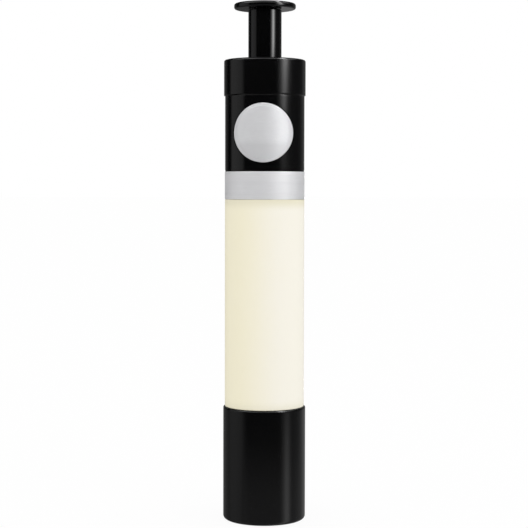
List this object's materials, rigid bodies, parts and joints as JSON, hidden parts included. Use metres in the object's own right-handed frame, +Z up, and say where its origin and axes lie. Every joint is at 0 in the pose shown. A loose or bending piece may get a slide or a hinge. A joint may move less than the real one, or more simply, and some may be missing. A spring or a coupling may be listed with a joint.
{
  "type": "nail polish pen",
  "caption": "Press-type nail polish pen standing on its pull-off cap, with cream barrel, silver band and badge, black rear end and sprung thumb button.",
  "frame": {"origin": "middle of the cap's flat end face, on which the pen stands", "axes": "+Z runs up the pen's axis to the thumb button, and -Y faces the front, where the badge is"},
  "size_m": [0.0176, 0.0176, 0.1104],
  "materials": {
    "black_satin": "satin",
    "black_gloss": "gloss",
    "cream_gloss": "semi-gloss",
    "silver_foil": "satin",
    "steel": "bright",
    "white_plastic": "moulded",
    "grey_plastic": "moulded",
    "clear_rubber": "matte",
    "black_rubber": "matte",
    "bristle": "nylon fibre"
  },
  "bodies": {
    "barrel_body": {"barrel": "cream_gloss", "cap_grip_ring": "black_rubber", "trim_band": "silver_foil", "rear_housing": "black_gloss", "badge_plate": "silver_foil", "end_collar": "black_gloss", "guide_bush": "white_plastic", "nozzle": "grey_plastic", "nozzle_seal": "black_rubber", "flow_valve": "clear_rubber", "valve_retainer": "white_plastic", "feed_tube": "steel", "brush_ferrule": "steel", "brush_bristles": "bristle", "mechanism_sleeve": "grey_plastic", "pawl_ring": "grey_plastic", "spring_seat": "steel", "return_spring": "steel"},
    "cap": {"cap_shell": "black_satin", "cap_liner": "white_plastic"},
    "follower": {"follower_piston": "white_plastic", "piston_ring_front": "black_rubber", "piston_ring_rear": "black_rubber", "drive_screw": "white_plastic"},
    "nut": {"drive_nut": "white_plastic"},
    "rotor": {"spiral_rotor": "grey_plastic"},
    "plunger": {"plunger_stem": "black_gloss", "drive_pin_right": "steel", "drive_pin_left": "steel", "thumb_button": "black_gloss"}
  },
  "joints": [
    {"name": "cap_pull", "type": "slide", "parent": "cap", "child": "barrel_body", "axis": [0, 0, 1], "range_m": [0, 0.032]},
    {"name": "plunger_press", "type": "slide", "parent": "barrel_body", "child": "plunger", "axis": [0, 0, -1], "range_m": [0, 0.008], "stiffness_N_per_m": 380, "springref_m": -0.004, "deforming": ["return_spring"]},
    {"name": "rotor_turn", "type": "hinge", "parent": "barrel_body", "child": "rotor", "pos_m": [0, 0, 0.0686], "axis": [0, 0, 1], "range_deg": [0, 60]},
    {"name": "follower_advance", "type": "slide", "parent": "barrel_body", "child": "follower", "axis": [0, 0, -1], "range_m": [0, 0.022]},
    {"name": "nut_turn", "type": "hinge", "parent": "barrel_body", "child": "nut", "pos_m": [0, 0, 0.0638], "axis": [0, 0, 1], "range_deg": [0, 2641]}
  ],
  "couplings": [
    {"joint": "rotor_turn", "follows": "plunger_press", "rad_per_m": 130.9},
    {"joint": "nut_turn", "follows": "follower_advance", "rad_per_m": 2094.4}
  ]
}
